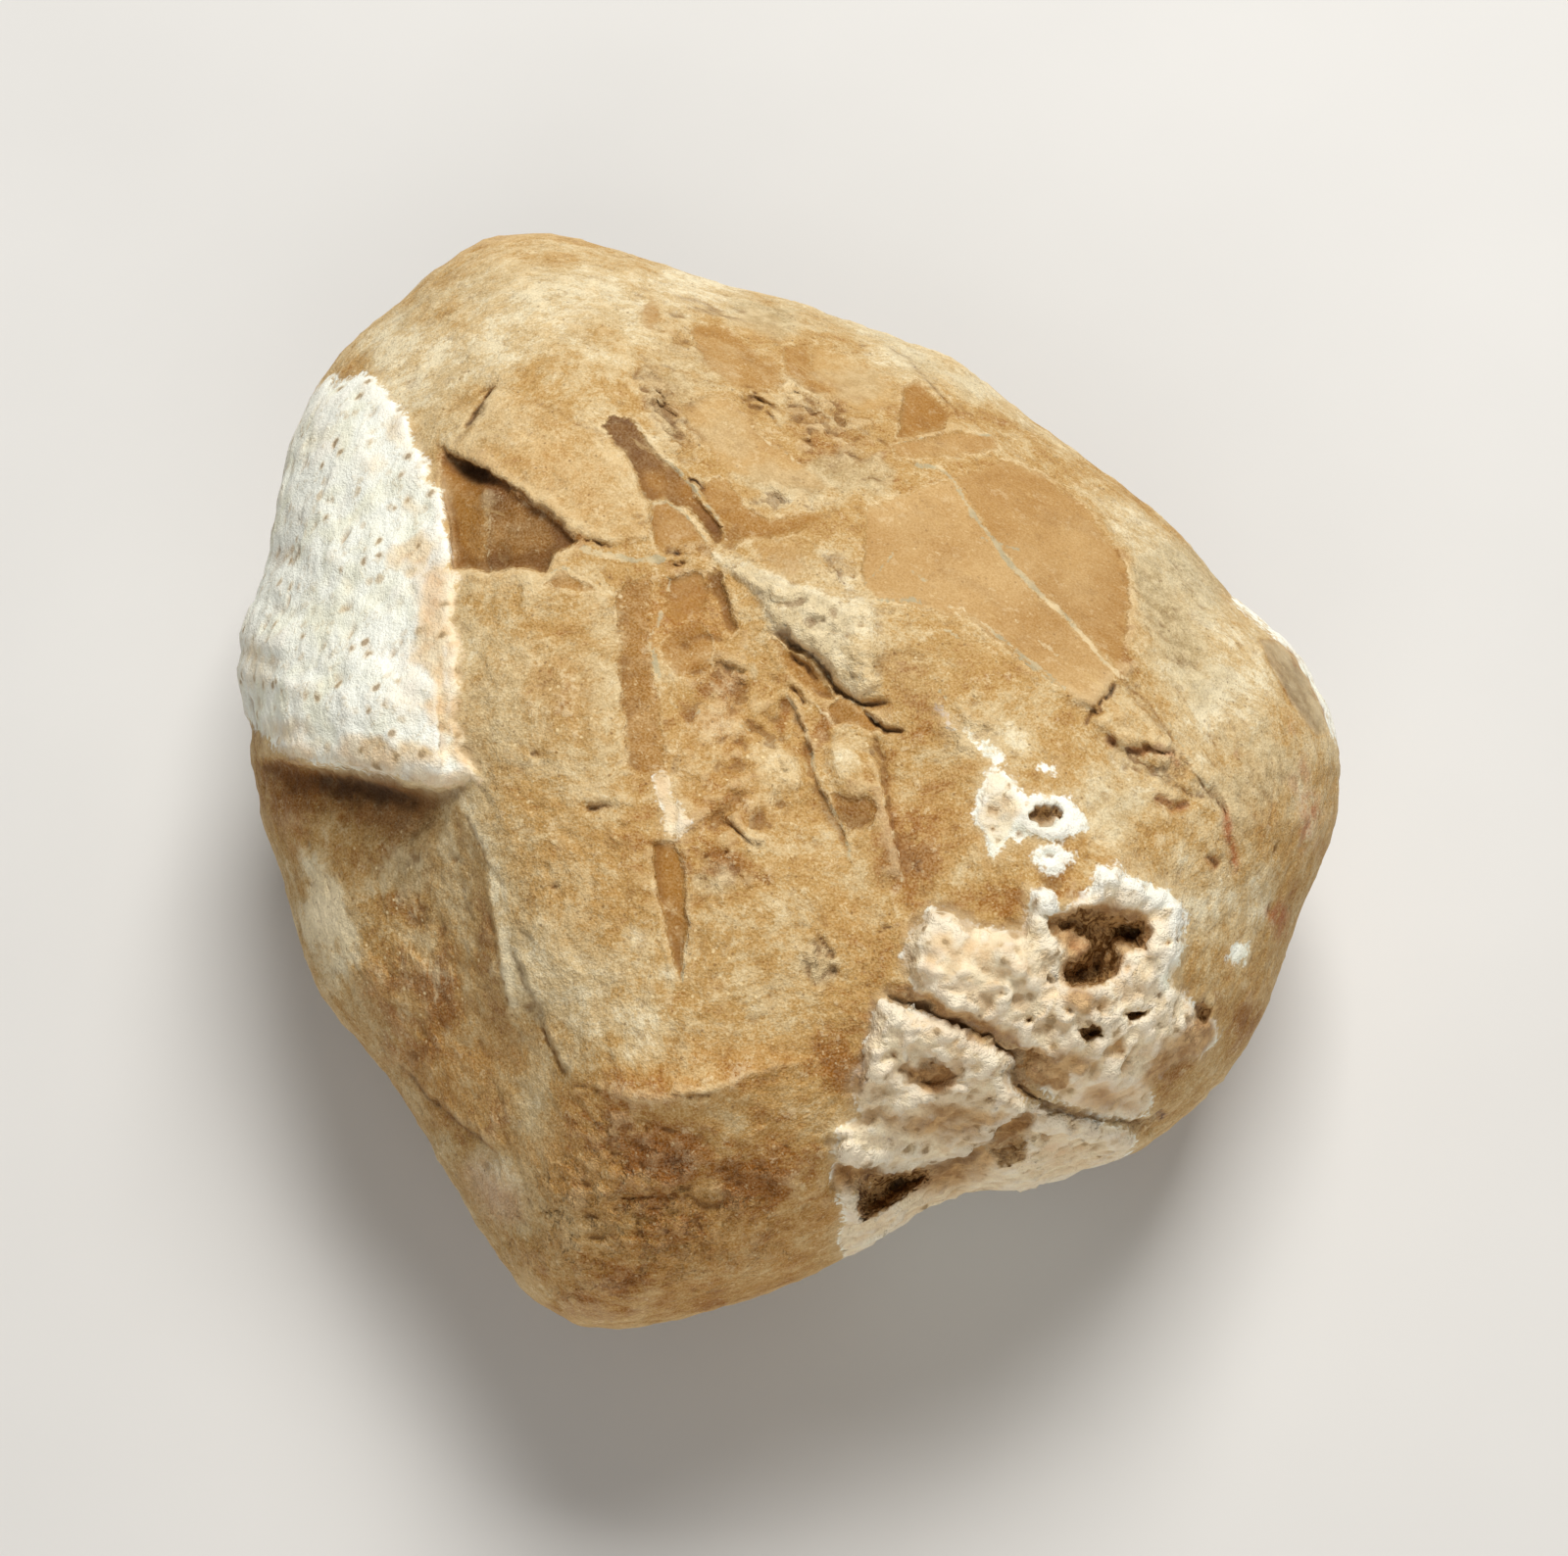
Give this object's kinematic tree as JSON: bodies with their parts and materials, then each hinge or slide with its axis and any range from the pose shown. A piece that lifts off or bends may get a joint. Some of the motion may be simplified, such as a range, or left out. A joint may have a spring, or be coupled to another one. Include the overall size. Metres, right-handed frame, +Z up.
{
  "type": "chert nodule",
  "caption": "Rounded, river-worn chert nodule with a broken tan face, porous white rind in patches and small crystal-lined hollows, resting on a flat spot.",
  "frame": {"origin": "on the resting surface, under the middle of the stone's bounding box", "axes": "+Z up from the resting surface; +X along the width, with the white rind pad at -X; +Y away from the viewer, towards the pale worn edge"},
  "size_m": [0.1446, 0.1522, 0.0729],
  "materials": {
    "chert": "worn matt tan stone with waxy broken faces and chalky white porous rind"
  },
  "bodies": {
    "root": {"nodule": "chert"}
  },
  "joints": []
}
